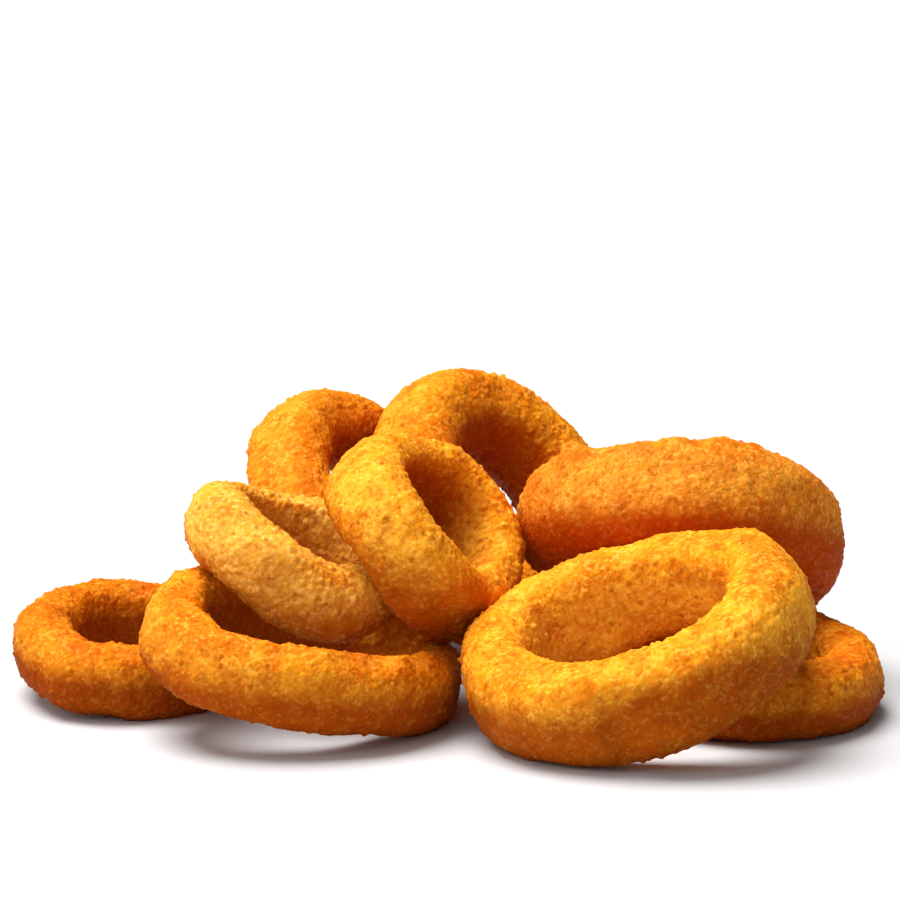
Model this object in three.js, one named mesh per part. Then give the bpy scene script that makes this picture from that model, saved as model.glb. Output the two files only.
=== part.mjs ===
// A serving of nine breaded onion rings, heaped loosely on a flat surface as they were tipped out.
// Each ring is a slightly oval, slightly bent loop of battered onion in a thick crumb coat.
// Millimetres, +Z up. The surface that the heap lies on is z = 0, and +Y points away from the front.
import * as THREE from 'three';

// Fineness of one ring: steps along the loop and steps round the coated band.
const LOOP_STEPS = 44;
const BAND_STEPS = 14;

// The band's section is an oval with fuller shoulders: this share is added at its four corners.
const SHOULDER = 0.05;

// The crumb coat is lumpy: the coat dips this far below the full thickness of the band.
const LUMP_DEPTH = 0.9;
// Each wave of lumps: turns along the loop, turns round the band, share of the depth.
const LUMP_WAVES = [
  { along: 3, round: 1, share: 0.3 },
  { along: 5, round: -2, share: 0.25 },
  { along: 8, round: 3, share: 0.2 },
  { along: 11, round: -1, share: 0.15 },
  { along: 14, round: 4, share: 0.1 },
];
const WAVE_SHIFT = 2.4;

// Half the angle over which the direction of a band's middle line is measured.
const SMALL_ANGLE = 0.01;

const COAT_ROUGHNESS = 0.75;
const GOLDEN = '#c8791f';
const DEEP_GOLDEN = '#b5651a';
const PALE_TAN = '#cf9a4e';

// The rings from left to right. A flat ring lies in the XY plane; it is turned about its own axis by
// turn, then tipped by lean so that its axis points towards the compass direction toward (0 is +X,
// 90 is +Y). wide and deep are the half axes of the oval middle line of the coated band. thick is half
// the band's thickness across the ring, tall is half its height along the ring's axis, and bend lifts
// the two wide ends and drops the two deep ones.
const RINGS = [
  {
    name: 'ring_far_left', centre: [-55.5, 14, 7.5], lean: 7, toward: -26, turn: -5,
    wide: 15, deep: 20.5, thick: 6, tall: 6.8, bend: 0, seed: 1, colour: DEEP_GOLDEN,
  },
  {
    name: 'ring_front_left', centre: [-25, -10.5, 12.5], lean: 17, toward: -15, turn: 35,
    wide: 23.5, deep: 19.5, thick: 6, tall: 7.3, bend: -1, seed: 2, colour: GOLDEN,
  },
  {
    name: 'ring_middle_left', centre: [-26, 2, 27], lean: 20, toward: -18, turn: 25,
    wide: 15, deep: 14.5, thick: 5.9, tall: 7.2, bend: 2, seed: 3, colour: PALE_TAN,
  },
  {
    name: 'ring_back_left', centre: [-18, 49.5, 23.5], lean: 64, toward: -21, turn: -15,
    wide: 18.5, deep: 21.5, thick: 6.1, tall: 7.9, bend: -1.5, seed: 4, colour: GOLDEN,
  },
  {
    name: 'ring_middle', centre: [-4, 2.5, 30.5], lean: 52, toward: -17, turn: -20,
    wide: 13.5, deep: 17.5, thick: 5.9, tall: 8, bend: -1.5, seed: 5, colour: GOLDEN,
  },
  {
    name: 'ring_back_top', centre: [7.5, 50.5, 24.5], lean: 56, toward: -42, turn: 25,
    wide: 19, deep: 20, thick: 7.6, tall: 9.5, bend: 0.5, seed: 6, colour: GOLDEN,
  },
  {
    name: 'ring_top_right', centre: [40.5, 23.5, 26.5], lean: 28, toward: 78, turn: 25,
    wide: 21.5, deep: 20, thick: 7.8, tall: 10.1, bend: -1, seed: 7, colour: DEEP_GOLDEN,
  },
  {
    name: 'ring_front_right', centre: [31, -23.5, 17], lean: 24, toward: -140, turn: -5,
    wide: 23, deep: 18.5, thick: 7.6, tall: 9.4, bend: 0.5, seed: 8, colour: GOLDEN,
  },
  {
    name: 'ring_under_right', centre: [51.5, -1.5, 6.5], lean: 1, toward: -107, turn: -5,
    wide: 17, deep: 20.5, thick: 6.1, tall: 6.9, bend: -0.5, seed: 9, colour: DEEP_GOLDEN,
  },
];

function lumpHeight(alongAngle, roundAngle, seed) {
  let sum = 0;
  LUMP_WAVES.forEach((wave, index) => {
    const shift = WAVE_SHIFT * seed * (index + 1);
    sum += wave.share * Math.sin(wave.along * alongAngle + wave.round * roundAngle + shift);
  });
  return -LUMP_DEPTH * (0.5 - 0.5 * sum);
}

function ringTurn(ring) {
  const lean = THREE.MathUtils.degToRad(ring.lean);
  const toward = THREE.MathUtils.degToRad(ring.toward);
  const tipAxis = new THREE.Vector3(-Math.sin(toward), Math.cos(toward), 0);
  const tip = new THREE.Quaternion().setFromAxisAngle(tipAxis, lean);
  const turn = new THREE.Quaternion().setFromAxisAngle(
    new THREE.Vector3(0, 0, 1), THREE.MathUtils.degToRad(ring.turn));
  return tip.multiply(turn);
}

function middleLine(ring, angle) {
  return new THREE.Vector3(
    ring.wide * Math.cos(angle),
    ring.deep * Math.sin(angle),
    ring.bend * Math.cos(2 * angle));
}

function ringGeometry(ring, rotation, centre) {
  const positions = [];
  const faces = [];
  const back = rotation.clone().invert();
  const up = new THREE.Vector3(0, 0, 1);
  for (let i = 0; i < LOOP_STEPS; i += 1) {
    const along = (2 * Math.PI * i) / LOOP_STEPS;
    const middle = middleLine(ring, along);
    const ahead = middleLine(ring, along + SMALL_ANGLE).sub(middleLine(ring, along - SMALL_ANGLE));
    const outward = new THREE.Vector3().crossVectors(ahead, up).normalize();
    const rising = new THREE.Vector3().crossVectors(outward, ahead).normalize();
    for (let j = 0; j < BAND_STEPS; j += 1) {
      const round = (2 * Math.PI * j) / BAND_STEPS;
      const shoulder = 1 + SHOULDER * Math.sin(2 * round) ** 2;
      const lump = lumpHeight(along, round, ring.seed);
      const point = middle.clone()
        .addScaledVector(outward, (shoulder * ring.thick + lump) * Math.cos(round))
        .addScaledVector(rising, (shoulder * ring.tall + lump) * Math.sin(round));
      const placed = point.applyQuaternion(rotation).add(centre);
      placed.z = Math.max(placed.z, 0);
      const local = placed.sub(centre).applyQuaternion(back);
      positions.push(local.x, local.y, local.z);
      const nextI = (i + 1) % LOOP_STEPS;
      const nextJ = (j + 1) % BAND_STEPS;
      const here = i * BAND_STEPS + j;
      const over = nextI * BAND_STEPS + j;
      const overUp = nextI * BAND_STEPS + nextJ;
      const hereUp = i * BAND_STEPS + nextJ;
      faces.push(here, over, overUp, here, overUp, hereUp);
    }
  }
  const geometry = new THREE.BufferGeometry();
  geometry.setAttribute('position', new THREE.Float32BufferAttribute(positions, 3));
  geometry.setIndex(faces);
  geometry.computeVertexNormals();
  return geometry;
}

const heap = new THREE.Group();
for (const ring of RINGS) {
  const centre = new THREE.Vector3(...ring.centre);
  const rotation = ringTurn(ring);
  const material = new THREE.MeshStandardMaterial({
    color: ring.colour, roughness: COAT_ROUGHNESS, metalness: 0,
  });
  const mesh = new THREE.Mesh(ringGeometry(ring, rotation, centre), material);
  mesh.name = ring.name;
  mesh.position.copy(centre);
  mesh.quaternion.copy(rotation);
  heap.add(mesh);
}

// The origin is moved under the middle of the heap, on the surface that it lies on.
const measurePrecisely = true;
const middle = new THREE.Box3().setFromObject(heap, measurePrecisely).getCenter(new THREE.Vector3());
heap.position.set(-middle.x, -middle.y, 0);

export default heap;
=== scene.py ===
import math

import bpy
import numpy as np
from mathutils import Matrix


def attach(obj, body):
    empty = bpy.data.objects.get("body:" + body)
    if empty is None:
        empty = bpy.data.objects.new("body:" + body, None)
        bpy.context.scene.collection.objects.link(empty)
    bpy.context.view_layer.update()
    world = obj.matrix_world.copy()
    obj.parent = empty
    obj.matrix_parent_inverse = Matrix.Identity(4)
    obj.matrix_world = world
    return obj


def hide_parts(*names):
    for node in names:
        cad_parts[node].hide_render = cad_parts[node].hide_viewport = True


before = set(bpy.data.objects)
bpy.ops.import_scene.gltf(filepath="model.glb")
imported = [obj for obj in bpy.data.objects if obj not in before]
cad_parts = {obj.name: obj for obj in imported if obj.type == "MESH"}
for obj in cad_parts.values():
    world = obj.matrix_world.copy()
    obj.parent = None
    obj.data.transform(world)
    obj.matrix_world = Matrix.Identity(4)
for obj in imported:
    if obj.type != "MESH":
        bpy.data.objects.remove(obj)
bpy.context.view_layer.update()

# The table
# The heap lies on a plain matt surface that runs on as far as the eye sees. It is a pale grey that
# comes out white under the lamps, with a soft shadow under and beside the rings.
FLOOR_SIZE = 6.0
FLOOR_GREY = (0.56, 0.56, 0.56, 1.0)
FLOOR_ROUGHNESS = 0.9

floor_half = FLOOR_SIZE / 2
floor_mesh = bpy.data.meshes.new("table")
floor_corners = [
    (-floor_half, -floor_half, 0.0),
    (floor_half, -floor_half, 0.0),
    (floor_half, floor_half, 0.0),
    (-floor_half, floor_half, 0.0),
]
floor_mesh.from_pydata(floor_corners, [], [(0, 1, 2, 3)])
floor = bpy.data.objects.new("table", floor_mesh)
bpy.context.collection.objects.link(floor)
floor_material = bpy.data.materials.new("white_table")
floor_material.use_nodes = True
floor_shader = floor_material.node_tree.nodes["Principled BSDF"]
floor_shader.inputs["Base Color"].default_value = FLOOR_GREY
floor_shader.inputs["Roughness"].default_value = FLOOR_ROUGHNESS
floor_mesh.materials.append(floor_material)

# The studio light
# A white room, a large soft lamp nearly overhead and a little to the left, and a weaker, wider one at
# the front left that fills the shade. Each lamp's direction is the way from the heap to the lamp, and
# the lamps are so far off that the table is lit evenly and throws light back up at the rings.
ROOM_COLOUR = (1.0, 1.0, 1.0, 1.0)
ROOM_BRIGHTNESS = 0.16
HEAP_FOOT = (0.0, 0.0, 0.0)
LAMPS = [
    {"name": "main_lamp", "strength": 4.9, "softness": 40.0, "direction": (-0.28, 0.12, 0.95)},
    {"name": "fill_lamp", "strength": 2.0, "softness": 90.0, "direction": (-0.65, -0.6, 0.45)},
]

world = bpy.data.worlds.new("white_room")
world.use_nodes = True
room_light = world.node_tree.nodes["Background"]
room_light.inputs["Color"].default_value = ROOM_COLOUR
room_light.inputs["Strength"].default_value = ROOM_BRIGHTNESS
bpy.context.scene.world = world


def aim(thing, place, target):
    """Put a lamp or the camera somewhere and turn it towards a target."""
    thing.location = place
    away = np.array(place) - np.array(target)
    level = math.hypot(away[0], away[1])
    thing.rotation_euler = (math.atan2(level, away[2]), 0.0, math.atan2(away[0], -away[1]))


for lamp_values in LAMPS:
    lamp_data = bpy.data.lights.new(lamp_values["name"], "SUN")
    lamp_data.energy = lamp_values["strength"]
    lamp_data.angle = math.radians(lamp_values["softness"])
    lamp = bpy.data.objects.new(lamp_values["name"], lamp_data)
    aim(lamp, lamp_values["direction"], HEAP_FOOT)
    bpy.context.collection.objects.link(lamp)
bpy.context.scene.view_settings.view_transform = "Standard"

# The camera
# A long lens a little above the table looks straight along the depth of the heap. One picture element
# covers a fixed length at the target, which sets the focal length. Lengths are in metres, and those of
# the lens and its sensor in millimetres.
CAMERA_DISTANCE = 0.8
CAMERA_ELEVATION = math.radians(11.0)
CAMERA_TARGET = (0.001, -0.0134, 0.0454)
PICTURE_SIDE = 900
METRES_PER_PIXEL = 0.00017
SENSOR_WIDTH = 36.0

camera_data = bpy.data.cameras.new("camera")
camera_data.sensor_width = SENSOR_WIDTH
camera_data.lens = SENSOR_WIDTH * CAMERA_DISTANCE / (METRES_PER_PIXEL * PICTURE_SIDE)
camera = bpy.data.objects.new("camera", camera_data)
camera_place = (
    CAMERA_TARGET[0],
    CAMERA_TARGET[1] - CAMERA_DISTANCE * math.cos(CAMERA_ELEVATION),
    CAMERA_TARGET[2] + CAMERA_DISTANCE * math.sin(CAMERA_ELEVATION),
)
aim(camera, camera_place, CAMERA_TARGET)
bpy.context.collection.objects.link(camera)
bpy.context.scene.camera = camera

# The far left ring
# An onion slice dipped in batter, rolled in fine breadcrumbs and fried. It lies nearly flat on the
# table at the left end of the heap. The tools that shape and colour every ring start here.

# Rings are shaped in millimetres. The shift brings the middle of the heap over the origin.
MILLIMETRE = 0.001
HEAP_SHIFT = np.array([1.02, -13.44, 0.0])
LOOP_STEPS = 384
BAND_STEPS = 128

# The plain band: fuller shoulders, and lumps as waves (turns along, turns round, share of the depth).
SHOULDER = 0.05
LUMP_DEPTH = 0.9
LUMP_WAVES = [(3, 1, 0.3), (5, -2, 0.25), (8, 3, 0.2), (11, -1, 0.15), (14, 4, 0.1)]
WAVE_SHIFT = 2.4

# The crumb coat, from broad swellings down to grit: width and height of each kind of relief.
SWELL_CELL = 7.5
SWELL_HEIGHT = 0.9
CLUMP_CELL = 3.2
CLUMP_HEIGHT = 0.4
CRUMB_CELL = 1.1
CRUMB_HEIGHT = 0.3
CRUMB_MEAN = 0.4
GRIT_CELL = 0.6
GRIT_HEIGHT = 0.2
GRIT_MEAN = 0.5
STRAY_CELL = 1.3
STRAY_HEIGHT = 0.55
STRAY_SHARPNESS = 3
COAT_SINK = 0.5
GRAIN_REACH = 0.6
LOWEST_GRAIN = 0.35

# Crumbs lie in patches: how wide these are, how sharply they end and how many crumbs lie between.
PATCH_CELL = 6.4
PATCH_CONTRAST = 2.2
PATCH_SHIFT = 0.5
PATCH_LEAST = 0.3

# Painted shade: the crust is painted darker as it turns downwards, and near the table.
SHADE_FROM = -0.8
SHADE_TO = 0.9
TABLE_SHADE = 0.5
TABLE_SHADE_REACH = 8.0

# Each ring has its own run of random draws. A use of grains takes the four that follow its number.
DRAWS_PER_RING = 20
SWELL_DRAW = 1
CLUMP_DRAW = 2
PATCH_DRAW = 3
CRUMB_DRAW = 4
GRIT_DRAW = 9
STRAY_DRAW = 14

# Large odd numbers and shifts that mix a cell's place and a seed thoroughly.
CELL_FACTORS = (374761393, 668265263, 1440662683)
SEED_FACTOR = 1274126177
MIX_STEPS = [(13, 1274126177), (15, 2246822519)]
LAST_SHIFT = 16
WORD_MASK = 0xFFFFFFFF


def scatter(cells, seed):
    """Give each whole-number cell a steady random number between 0 and 1."""
    mixed = sum(cells[..., axis] * factor for axis, factor in enumerate(CELL_FACTORS))
    mixed = (mixed + seed * SEED_FACTOR) & WORD_MASK
    for shift, factor in MIX_STEPS:
        mixed = ((mixed ^ (mixed >> shift)) * factor) & WORD_MASK
    return (mixed ^ (mixed >> LAST_SHIFT)) / (WORD_MASK + 1)


def soft_noise(points, cell, seed):
    """Smooth noise from 0 to 1 with hills about one cell across."""
    scaled = points / cell
    base = np.floor(scaled).astype(np.int64)
    part = scaled - base
    part = part * part * (3.0 - 2.0 * part)
    total = np.zeros(len(points))
    for dx in (0, 1):
        for dy in (0, 1):
            for dz in (0, 1):
                corner = np.array([dx, dy, dz])
                share = np.prod(np.where(corner == 1, part, 1.0 - part), axis=1)
                total += share * scatter(base + corner, seed)
    return total


def grains(points, cell, seed):
    """Round grains of uneven height, one in each cell: 0 between grains, up to 1 on the tallest."""
    scaled = points / cell
    base = np.floor(scaled).astype(np.int64)
    height = np.zeros(len(points))
    for dx in (-1, 0, 1):
        for dy in (-1, 0, 1):
            for dz in (-1, 0, 1):
                near = base + np.array([dx, dy, dz])
                spot = np.stack([scatter(near, seed + k) for k in (1, 2, 3)], axis=1)
                gap = np.linalg.norm(scaled - near - spot, axis=1)
                dome = np.clip(1.0 - gap * gap / GRAIN_REACH, 0.0, 1.0)
                tallness = LOWEST_GRAIN + (1.0 - LOWEST_GRAIN) * scatter(near, seed + 4)
                height = np.maximum(height, dome * tallness)
    return height


def ring_frame(lean, toward, turn):
    """The ring's own axes: turned about its axis, then tipped towards a compass direction."""
    lean, toward, turn = np.radians([lean, toward, turn])
    spin = np.array([
        [math.cos(turn), -math.sin(turn), 0.0],
        [math.sin(turn), math.cos(turn), 0.0],
        [0.0, 0.0, 1.0],
    ])
    axis = np.array([-math.sin(toward), math.cos(toward), 0.0])
    skew = np.array([
        [0.0, -axis[2], axis[1]],
        [axis[2], 0.0, -axis[0]],
        [-axis[1], axis[0], 0.0],
    ])
    tip = np.eye(3) + math.sin(lean) * skew + (1.0 - math.cos(lean)) * (skew @ skew)
    return tip @ spin


def unit(vectors):
    """Scale rows of vectors to length 1."""
    return vectors / np.linalg.norm(vectors, axis=1, keepdims=True)


def soft_step(values, low, high):
    """0 below low, 1 above high and a smooth step between."""
    share = np.clip((values - low) / (high - low), 0.0, 1.0)
    return share * share * (3.0 - 2.0 * share)


def band_skin(shape, along, around):
    """Points of the lumpy band before it gets its crumbs, and the way each point faces."""
    wide, deep, thick, tall, bend = (shape[key] for key in ("wide", "deep", "thick", "tall", "bend"))
    middle = np.stack([wide * np.cos(along), deep * np.sin(along), bend * np.cos(2 * along)], axis=1)
    ahead = np.stack(
        [-wide * np.sin(along), deep * np.cos(along), -2 * bend * np.sin(2 * along)], axis=1)
    outward = unit(np.cross(ahead, [0.0, 0.0, 1.0]))
    rising = unit(np.cross(outward, ahead))
    lumps = np.zeros(len(along))
    for index, (turns, twists, share) in enumerate(LUMP_WAVES):
        shift = WAVE_SHIFT * shape["seed"] * (index + 1)
        lumps += share * np.sin(turns * along + twists * around + shift)
    dip = -LUMP_DEPTH * (0.5 - 0.5 * lumps)
    shoulder = 1.0 + SHOULDER * np.sin(2 * around) ** 2
    inner = np.clip(-np.cos(around), 0.0, 1.0)
    across = (shoulder * thick + dip) * np.cos(around) * (1.0 - shape["inner_flat"] * inner)
    upward = (shoulder * tall + dip) * np.sin(around)
    skin = middle + outward * across[:, None] + rising * upward[:, None]
    facing = outward * (np.cos(around) / thick)[:, None] + rising * (np.sin(around) / tall)[:, None]
    return skin, unit(facing)


def ring_mesh(name, shape, marks):
    """A crumbed loop in place in the heap, with its crumbs, and its painted shade and toast, kept as
    attributes.

    A mark is a round spot on the band, at an angle along the loop and one around the band. Its height
    raises or lowers the crust there, and its other value darkens it: with toast on some marks and with
    painted shade on others.
    """
    along = np.repeat(np.arange(LOOP_STEPS) * 2.0 * math.pi / LOOP_STEPS, BAND_STEPS)
    around = np.tile(np.arange(BAND_STEPS) * 2.0 * math.pi / BAND_STEPS, LOOP_STEPS)
    skin, facing = band_skin(shape, along, around)

    draw = DRAWS_PER_RING * shape["seed"]
    swell = soft_noise(skin, SWELL_CELL, draw + SWELL_DRAW) - 0.5
    clump = soft_noise(skin, CLUMP_CELL, draw + CLUMP_DRAW) - 0.5
    patch = soft_noise(skin, PATCH_CELL, draw + PATCH_DRAW) * PATCH_CONTRAST - PATCH_SHIFT
    crumb = grains(skin, CRUMB_CELL, draw + CRUMB_DRAW) * np.clip(patch, PATCH_LEAST, 1.0)
    grit = grains(skin, GRIT_CELL, draw + GRIT_DRAW)
    stray = grains(skin, STRAY_CELL, draw + STRAY_DRAW) ** STRAY_SHARPNESS
    relief = SWELL_HEIGHT * swell + CLUMP_HEIGHT * clump + CRUMB_HEIGHT * crumb + GRIT_HEIGHT * grit
    relief -= COAT_SINK * (CRUMB_HEIGHT + GRIT_HEIGHT)
    relief += STRAY_HEIGHT * stray
    # Marks add toast in some places and painted shade in others.
    mark_toast_and_shade = np.zeros(len(along))
    for mark in marks:
        where = np.radians([[mark["along"]], [mark["around"]]])
        spot = band_skin(shape, where[0], where[1])[0]
        gap = np.linalg.norm(skin - spot, axis=1)
        near = np.exp(-(gap / mark["size"]) ** 2)
        relief += mark.get("height", 0.0) * near
        mark_toast_and_shade += mark.get("toast_and_shade", 0.0) * near

    frame_axes = ring_frame(*shape["tilt"])
    points = (skin + facing * relief[:, None]) @ frame_axes.T
    points += np.array(shape["centre"]) + HEAP_SHIFT
    points[:, 2] = np.maximum(points[:, 2], 0.0)
    # Painted shade: the crust is painted darker where it faces down, near the table and on the inner
    # wall, scaled by the ring's own numbers. A negative number for the inside paints the inner wall
    # lighter.
    looks_down = -(facing @ frame_axes.T)[:, 2]
    near_table = np.exp(-points[:, 2] / TABLE_SHADE_REACH)
    shade_and_toast = soft_step(looks_down, SHADE_FROM, SHADE_TO) + TABLE_SHADE * near_table
    shade_and_toast = shape["under_shade"] * shade_and_toast
    shade_and_toast += shape["inside_shade"] * np.clip(-np.cos(around), 0.0, 1.0) + mark_toast_and_shade
    flank = np.cos(around) ** 2

    index = np.arange(LOOP_STEPS * BAND_STEPS).reshape(LOOP_STEPS, BAND_STEPS)
    over = np.roll(index, -1, axis=0)
    faces = np.stack(
        [index, over, np.roll(over, -1, axis=1), np.roll(index, -1, axis=1)], axis=2).reshape(-1, 4)
    mesh = bpy.data.meshes.new(name)
    mesh.from_pydata((points * MILLIMETRE).tolist(), [], faces.tolist())
    mesh.shade_smooth()
    height = CLUMP_HEIGHT * clump + CRUMB_HEIGHT * (crumb - CRUMB_MEAN)
    height += GRIT_HEIGHT * (grit - GRIT_MEAN)
    kept = {"crumb_height": height, "shade_and_toast": np.clip(shade_and_toast, 0.0, 1.0), "flank": flank}
    for title, values in kept.items():
        stored = mesh.attributes.new(title, "FLOAT", "POINT")
        stored.data.foreach_set("value", values)
    return mesh


def paint(code):
    """Turn a screen colour of six hex digits into linear numbers, by the standard screen curve."""
    shares = [int(code[k:k + 2], 16) / 255.0 for k in (0, 2, 4)]
    linear = [s / 12.92 if s <= 0.04045 else ((s + 0.055) / 1.055) ** 2.4 for s in shares]
    return (*linear, 1.0)


class Wire:
    """A shader socket that takes part in sums as a number does."""

    def __init__(self, tree, socket):
        self.tree = tree
        self.socket = socket

    def make(self, kind, settings, inputs, output=0):
        """Add a node, set it up, join or fill its sockets and give back one output."""
        node = self.tree.nodes.new(kind)
        for key, value in settings.items():
            setattr(node, key, value)
        for key, value in inputs.items():
            if isinstance(value, Wire):
                self.tree.links.new(value.socket, node.inputs[key])
            else:
                node.inputs[key].default_value = value
        return Wire(self.tree, node.outputs[output])

    def sum_node(self, operation, first, second):
        """Add one Math node."""
        return self.make("ShaderNodeMath", {"operation": operation}, {0: first, 1: second})

    def __add__(self, other):
        return self.sum_node("ADD", self, other)

    __radd__ = __add__

    def __sub__(self, other):
        return self.sum_node("SUBTRACT", self, other)

    def __rsub__(self, other):
        return self.sum_node("SUBTRACT", other, self)

    def __mul__(self, other):
        return self.sum_node("MULTIPLY", self, other)

    __rmul__ = __mul__

    def between(self, low, high):
        """0 below low, 1 above high and a soft step from one to the other."""
        settings = {"interpolation_type": "SMOOTHSTEP"}
        return self.make(
            "ShaderNodeMapRange", settings, {"Value": self, "From Min": low, "From Max": high})

    def blend(self, first, second):
        """The first colour where this is 0 and the second where it is 1."""
        settings = {"data_type": "RGBA", "clamp_factor": True}
        return self.make("ShaderNodeMix", settings, {0: self, 6: first, 7: second}, output=2)


# The patterns of the crust, by their width in metres.
BROAD_WIDTH = 0.014
CLOUD_WIDTH = 0.0038
SPECK_WIDTH = 0.0024
CRUMB_WIDTH = 0.0006
DUST_WIDTH = 0.00035
MOTTLE_ROUGHNESS = 0.6

# How strongly each tone is laid over the ones before it.
FLANK_SHARE = 0.55
DEEP_SHARE = 0.8
PALE_CRUMB_AND_GLINT_SHARE = 0.5
DARK_CRUMB_SHARE = 0.35
PIT_SHADE_SHARE = 0.45
SPECK_SHARE = 0.5

# The oily sheen: a rough crust, smoother on some crumbs, with fine grain from bump.
CRUST_ROUGHNESS = 0.66
GLINT_DROP = 0.28
CRUST_SPECULAR = 0.03
GRAIN_STRENGTH = 0.6
GRAIN_DEPTH = 0.0003


def crust(name, colours):
    """Fried crumb coat: mottled colour, crumbs of many tones with the palest also standing in for
    painted glints, specks, toast, and painted shade on the underside, on the inside and in the hollows
    between crumbs.
    """
    material = bpy.data.materials.new(name)
    material.use_nodes = True
    tree = material.node_tree
    shader = tree.nodes["Principled BSDF"]
    place = Wire(tree, tree.nodes.new("ShaderNodeTexCoord").outputs["Object"])
    tone = {key: paint(code) for key, code in colours.items()}

    def mottle(width, layers):
        """Soft cloudy patches, 0 to 1, with a number of finer layers on top."""
        inputs = {"Vector": place, "Scale": 1.0 / width, "Detail": layers, "Roughness": MOTTLE_ROUGHNESS}
        return place.make("ShaderNodeTexNoise", {}, inputs)

    def pieces(width, output):
        """Uneven cells: the distance from each one's middle, or its random colour."""
        inputs = {"Vector": place, "Scale": 1.0 / width, "Randomness": 1.0}
        return place.make("ShaderNodeTexVoronoi", {}, inputs, output)

    def stored(title):
        """A value that was kept on the ring's mesh."""
        return place.make("ShaderNodeAttribute", {"attribute_name": title}, {}, "Fac")

    def chance(width):
        """A steady random number for each crumb of this width."""
        return place.make("ShaderNodeSeparateColor", {}, {0: pieces(width, "Color")}, 0)

    height = stored("crumb_height")
    broad = mottle(BROAD_WIDTH, 2.0)
    cloudy = mottle(CLOUD_WIDTH, 3.0)
    fine = mottle(CRUMB_WIDTH, 2.0)
    crumb_tone = chance(CRUMB_WIDTH)
    # Painted shade, with toast from marks: this blends the crust towards the underside tone.
    brown_and_shade = (stored("shade_and_toast") + 0.5 * (cloudy - 0.5)).between(0.15, 1.1)
    flank = (stored("flank") + 0.6 * (cloudy - 0.5)).between(0.35, 0.95)
    colour = (0.6 * broad + 0.4 * cloudy).between(0.38, 0.62).blend(tone["pale"], tone["main"])
    colour = (FLANK_SHARE * flank).blend(colour, tone["flank"])
    colour = (DEEP_SHARE * cloudy.between(0.5, 0.75)).blend(colour, tone["deep"])
    colour = brown_and_shade.blend(colour, tone["under"])
    # Pale crumbs, which also stand in for painted glints, fewer where shade is painted.
    pale_crumbs_and_glints = PALE_CRUMB_AND_GLINT_SHARE * crumb_tone.between(0.6, 1.0) * (1.0 - 0.8 * brown_and_shade)
    colour = pale_crumbs_and_glints.blend(colour, tone["crumb"])
    dark_crumbs = DARK_CRUMB_SHARE * (0.45 - crumb_tone).between(0.0, 0.45)
    colour = dark_crumbs.blend(colour, tone["brown_and_shade"])
    # Painted shade in the hollows between crumbs.
    pit_shade = PIT_SHADE_SHARE * (0.0 - height).between(0.02, 0.3)
    colour = pit_shade.blend(colour, tone["brown_and_shade"])
    specks = (0.26 - pieces(SPECK_WIDTH, "Distance") + 0.4 * (fine - 0.5)).between(0.0, 0.1)
    specks = specks * chance(SPECK_WIDTH).between(0.5, 0.6)
    colour = (SPECK_SHARE * specks).blend(colour, tone["speck"])
    tree.links.new(colour.socket, shader.inputs["Base Color"])

    rough = CRUST_ROUGHNESS - GLINT_DROP * crumb_tone.between(0.75, 0.95)
    tree.links.new(rough.socket, shader.inputs["Roughness"])
    grain = 0.5 * fine + 0.3 * mottle(DUST_WIDTH, 1.0) - 0.5 * pieces(CRUMB_WIDTH, "Distance")
    bump_inputs = {"Height": grain, "Strength": GRAIN_STRENGTH, "Distance": GRAIN_DEPTH}
    bump = place.make("ShaderNodeBump", {}, bump_inputs)
    tree.links.new(bump.socket, shader.inputs["Normal"])
    shader.inputs["Specular IOR Level"].default_value = CRUST_SPECULAR
    return material


def lay_ring(node, shape, colours, marks=()):
    """Make one ring with its own crust and put it in the place of its plain solid."""
    mesh = ring_mesh(node + "_crumbed", shape, marks)
    mesh.materials.append(crust(node + "_crust", colours))
    piece = bpy.data.objects.new(node + "_crumbed", mesh)
    bpy.context.collection.objects.link(piece)
    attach(piece, "root")
    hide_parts(node)


# Tones of a crust: pale crumbs that also stand in for painted glints, two tones of the mottle, flanks,
# deep patches, the painted shade of the underside and inside (also the tone of toast), dark crumbs and
# painted shade in pits, specks.
GOLDEN = {
    "crumb": "FAB442", "pale": "EC9016", "main": "E37508", "flank": "EC9C26", "deep": "D06004",
    "under": "9A3C01", "brown_and_shade": "AE4A02", "speck": "923A02",
}
DEEP_GOLDEN = {
    "crumb": "F0A436", "pale": "E28412", "main": "D66806", "flank": "E2901E", "deep": "C45402",
    "under": "8C3401", "brown_and_shade": "A24202", "speck": "863402",
}

# A ring's shape: the seed of its lumps and crumbs; its centre; its lean, the compass direction that its
# axis leans toward, and its turn; half the width and depth of the loop; half the thickness and height of
# the band; how far the loop is bent. Then how much flatter the inner wall is, and how much shade is
# painted on the underside and on the inside; a negative number for the inside paints it lighter.
FAR_LEFT_SHAPE = {
    "seed": 1, "centre": (-55.5, 14.0, 7.5), "tilt": (7, -26, -5),
    "wide": 15.0, "deep": 20.5, "thick": 6.0, "tall": 6.8, "bend": 0.0,
    "inner_flat": 0.15, "under_shade": 1.35, "inside_shade": 0.15,
}
# A dent under the raised end of the front left ring.
FAR_LEFT_DENT = [{"along": 336, "around": 76, "size": 3.5, "height": -0.6}]
lay_ring("ring_far_left", FAR_LEFT_SHAPE, DEEP_GOLDEN, FAR_LEFT_DENT)

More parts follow.
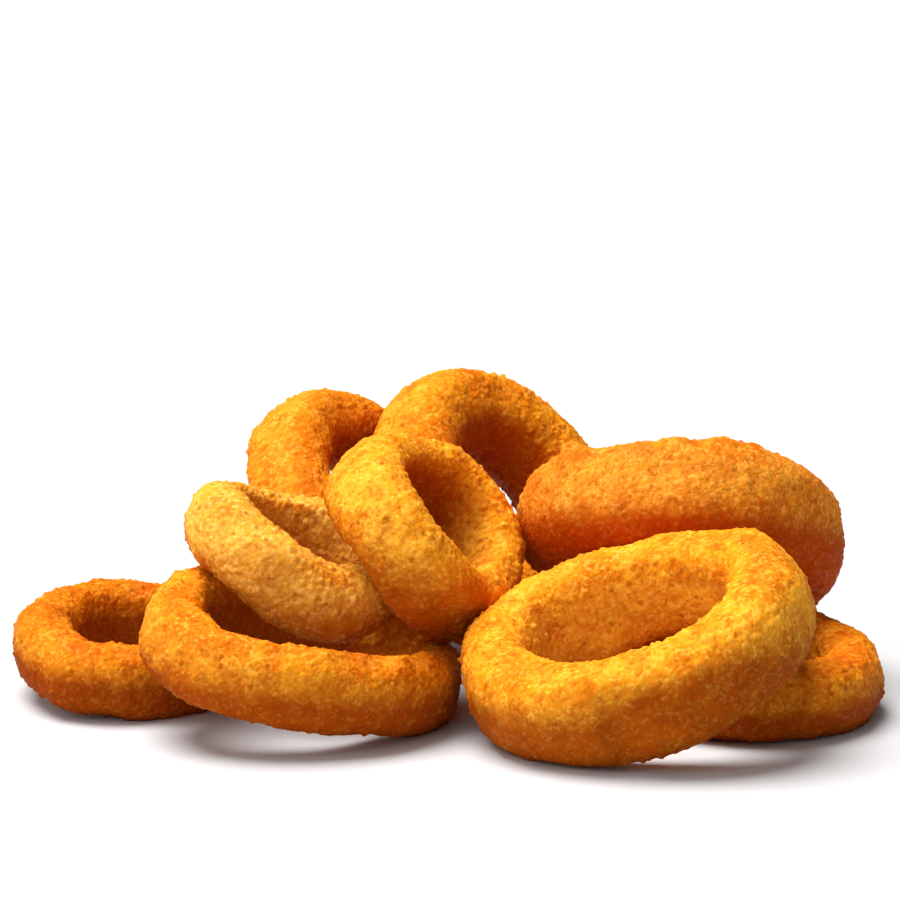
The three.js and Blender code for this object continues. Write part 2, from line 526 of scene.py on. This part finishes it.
# The front left ring
# A wide ring of the same making, with rough crags along its rim. Its left end is lifted on the far
# left ring and its right end lies on the table.
FRONT_LEFT_SHAPE = {
    "seed": 2, "centre": (-25.0, -10.5, 12.5), "tilt": (17, -15, 35),
    "wide": 23.5, "deep": 19.5, "thick": 6.0, "tall": 7.3, "bend": -1.0,
    "inner_flat": 0.15, "under_shade": 1.1, "inside_shade": 0.3,
}
FRONT_LEFT_CRAGS = [
    {"along": 224, "around": 84, "size": 1.5, "height": 0.8},
    {"along": 233, "around": 97, "size": 1.1, "height": 0.7},
    {"along": 247, "around": 76, "size": 1.9, "height": 0.9},
    {"along": 255, "around": 92, "size": 1.0, "height": 0.6},
    {"along": 264, "around": 86, "size": 1.6, "height": 0.8},
    {"along": 281, "around": 80, "size": 1.3, "height": 0.9},
    {"along": 288, "around": 95, "size": 0.9, "height": 0.6},
    {"along": 299, "around": 84, "size": 1.7, "height": 0.7},
]
# The rim of the hole is toasted along the front.
FRONT_LEFT_TOAST = [
    {"along": turn, "around": 100, "size": 5.0, "toast_and_shade": 0.4} for turn in (225, 245, 265, 285)
]
FRONT_LEFT_MARKS = FRONT_LEFT_CRAGS + FRONT_LEFT_TOAST
lay_ring("ring_front_left", FRONT_LEFT_SHAPE, GOLDEN, FRONT_LEFT_MARKS)

# The middle left ring
# A smaller ring in the same crumb coat that came out of the oil paler.
# It lies across the front left ring with its left end high.
PALE_TAN = {
    "crumb": "FCCC6C", "pale": "F2AA38", "main": "E48E1E", "flank": "F2B244", "deep": "CE6E0C",
    "under": "A04A04", "brown_and_shade": "B45A06", "speck": "9C4804",
}
MIDDLE_LEFT_SHAPE = {
    "seed": 3, "centre": (-26.0, 2.0, 27.0), "tilt": (20, -18, 25),
    "wide": 15.0, "deep": 14.5, "thick": 5.9, "tall": 7.2, "bend": 2.0,
    "inner_flat": 0.35, "under_shade": 0.8, "inside_shade": 0.1,
}
lay_ring("ring_middle_left", MIDDLE_LEFT_SHAPE, PALE_TAN)

# The back left ring
# A crumbed ring that stands steeply at the back, leaning over to the left.
# It shows above the middle left ring.
BACK_LEFT_SHAPE = {
    "seed": 4, "centre": (-18.0, 49.5, 23.5), "tilt": (64, -21, -15),
    "wide": 18.5, "deep": 21.5, "thick": 6.1, "tall": 7.9, "bend": -1.5,
    "inner_flat": -0.3, "under_shade": 1.0, "inside_shade": 0.25,
}
lay_ring("ring_back_left", BACK_LEFT_SHAPE, GOLDEN)

# The middle ring
# A long oval ring in a brighter crumb coat. It stands steeply in the middle of the heap, close against
# the rings round it, and its hole faces right.
HONEY = {
    "crumb": "FEC44C", "pale": "F6A220", "main": "F08A10", "flank": "F4AA30", "deep": "DA6E06",
    "under": "943E02", "brown_and_shade": "B65202", "speck": "963E02",
}
MIDDLE_SHAPE = {
    "seed": 5, "centre": (-4.0, 2.5, 30.5), "tilt": (52, -17, -20),
    "wide": 13.5, "deep": 17.5, "thick": 5.9, "tall": 8.0, "bend": -1.5,
    "inner_flat": 0.4, "under_shade": 1.0, "inside_shade": 0.2,
}
lay_ring("ring_middle", MIDDLE_SHAPE, HONEY)

# The back top ring
# The crumbed ring that reaches highest in the picture. It stands on the table at the back, turned so
# that its right side is farther away.
BACK_TOP_SHAPE = {
    "seed": 6, "centre": (7.5, 50.5, 24.5), "tilt": (56, -42, 25),
    "wide": 19.0, "deep": 20.0, "thick": 7.6, "tall": 9.5, "bend": 0.5,
    "inner_flat": -0.15, "under_shade": 1.0, "inside_shade": 0.45,
}
lay_ring("ring_back_top", BACK_TOP_SHAPE, GOLDEN)

# The top right ring
# A thick, knobbly crumbed ring behind the front right one. It is tipped back, with its front edge up
# and close to that ring, so that its underside shows, with heavy painted shade on it.
TOP_RIGHT_SHAPE = {
    "seed": 7, "centre": (40.5, 23.5, 26.5), "tilt": (28, 78, 25),
    "wide": 21.5, "deep": 20.0, "thick": 7.8, "tall": 10.1, "bend": -1.0,
    "inner_flat": 0.0, "under_shade": 1.8, "inside_shade": 0.0,
}
TOP_RIGHT_KNOBS = [
    {"along": 196, "around": 50, "size": 2.6, "height": 2.5},
    {"along": 206, "around": 56, "size": 2.8, "height": -1.5},
    {"along": 213, "around": 30, "size": 2.0, "height": 0.8},
    {"along": 228, "around": 44, "size": 2.6, "height": 0.9},
    {"along": 234, "around": 22, "size": 3.0, "height": -0.7},
    {"along": 240, "around": 52, "size": 2.4, "height": 1.1},
    {"along": 249, "around": 58, "size": 1.6, "height": -1.5},
    {"along": 258, "around": 62, "size": 2.6, "height": 1.0},
    {"along": 272, "around": 66, "size": 2.4, "height": 0.8},
]
# A deeper orange coat, with a strong painted shade as its underside tone.
DEEP_ORANGE = {
    "crumb": "F6B24A", "pale": "E88E20", "main": "DC700A", "flank": "E8962A", "deep": "CA5804",
    "under": "AC3C00", "brown_and_shade": "A84402", "speck": "8C3602",
}
lay_ring("ring_top_right", TOP_RIGHT_SHAPE, DEEP_ORANGE, TOP_RIGHT_KNOBS)

# The front right ring
# The biggest ring, in the brighter crumb coat. Its front left side lies on the table and its back is
# lifted over the ring under it, so that its inner wall shows. A crease runs down its front.
# Less shade is painted on its inner wall, so that wall is painted lighter.
FRONT_RIGHT_SHAPE = {
    "seed": 8, "centre": (31.0, -23.5, 17.0), "tilt": (24, -140, -5),
    "wide": 23.0, "deep": 18.5, "thick": 7.6, "tall": 9.4, "bend": 0.5,
    "inner_flat": 0.2, "under_shade": 1.0, "inside_shade": -0.6,
}
FRONT_RIGHT_CREASE = [
    {"along": 264, "around": turn, "size": 2.4, "height": -1.1} for turn in (-35, -12, 10, 30)
]
# Painted shade on the lower right of the front; the right end and the front rim are toasted.
FRONT_RIGHT_TOAST_AND_SHADE = [
    {"along": 277, "around": -10, "size": 8.0, "toast_and_shade": 0.55},
    {"along": 296, "around": -10, "size": 9.0, "toast_and_shade": 0.55},
    {"along": 314, "around": -15, "size": 8.0, "toast_and_shade": 0.45},
    {"along": 345, "around": 70, "size": 8.0, "toast_and_shade": 0.4},
    {"along": 10, "around": 75, "size": 8.0, "toast_and_shade": 0.4},
    {"along": 262, "around": 105, "size": 6.0, "toast_and_shade": 0.35},
]
# The foot of the inner wall is fuller at the back.
FRONT_RIGHT_FILL = [
    {"along": turn, "around": 218, "size": 4.0, "height": 0.8} for turn in (103, 112, 121, 130)
]
FRONT_RIGHT_MARKS = FRONT_RIGHT_CREASE + FRONT_RIGHT_FILL + FRONT_RIGHT_TOAST_AND_SHADE
lay_ring("ring_front_right", FRONT_RIGHT_SHAPE, HONEY, FRONT_RIGHT_MARKS)

# The under right ring
# A crumbed ring that lies flat on the table at the right end.
# It is mostly hidden, and shaded, under the front right ring.
UNDER_RIGHT_SHAPE = {
    "seed": 9, "centre": (51.5, -1.5, 6.5), "tilt": (1, -107, -5),
    "wide": 17.0, "deep": 20.5, "thick": 6.1, "tall": 6.9, "bend": -0.5,
    "inner_flat": 0.1, "under_shade": 1.0, "inside_shade": 0.0,
}
lay_ring("ring_under_right", UNDER_RIGHT_SHAPE, DEEP_GOLDEN)
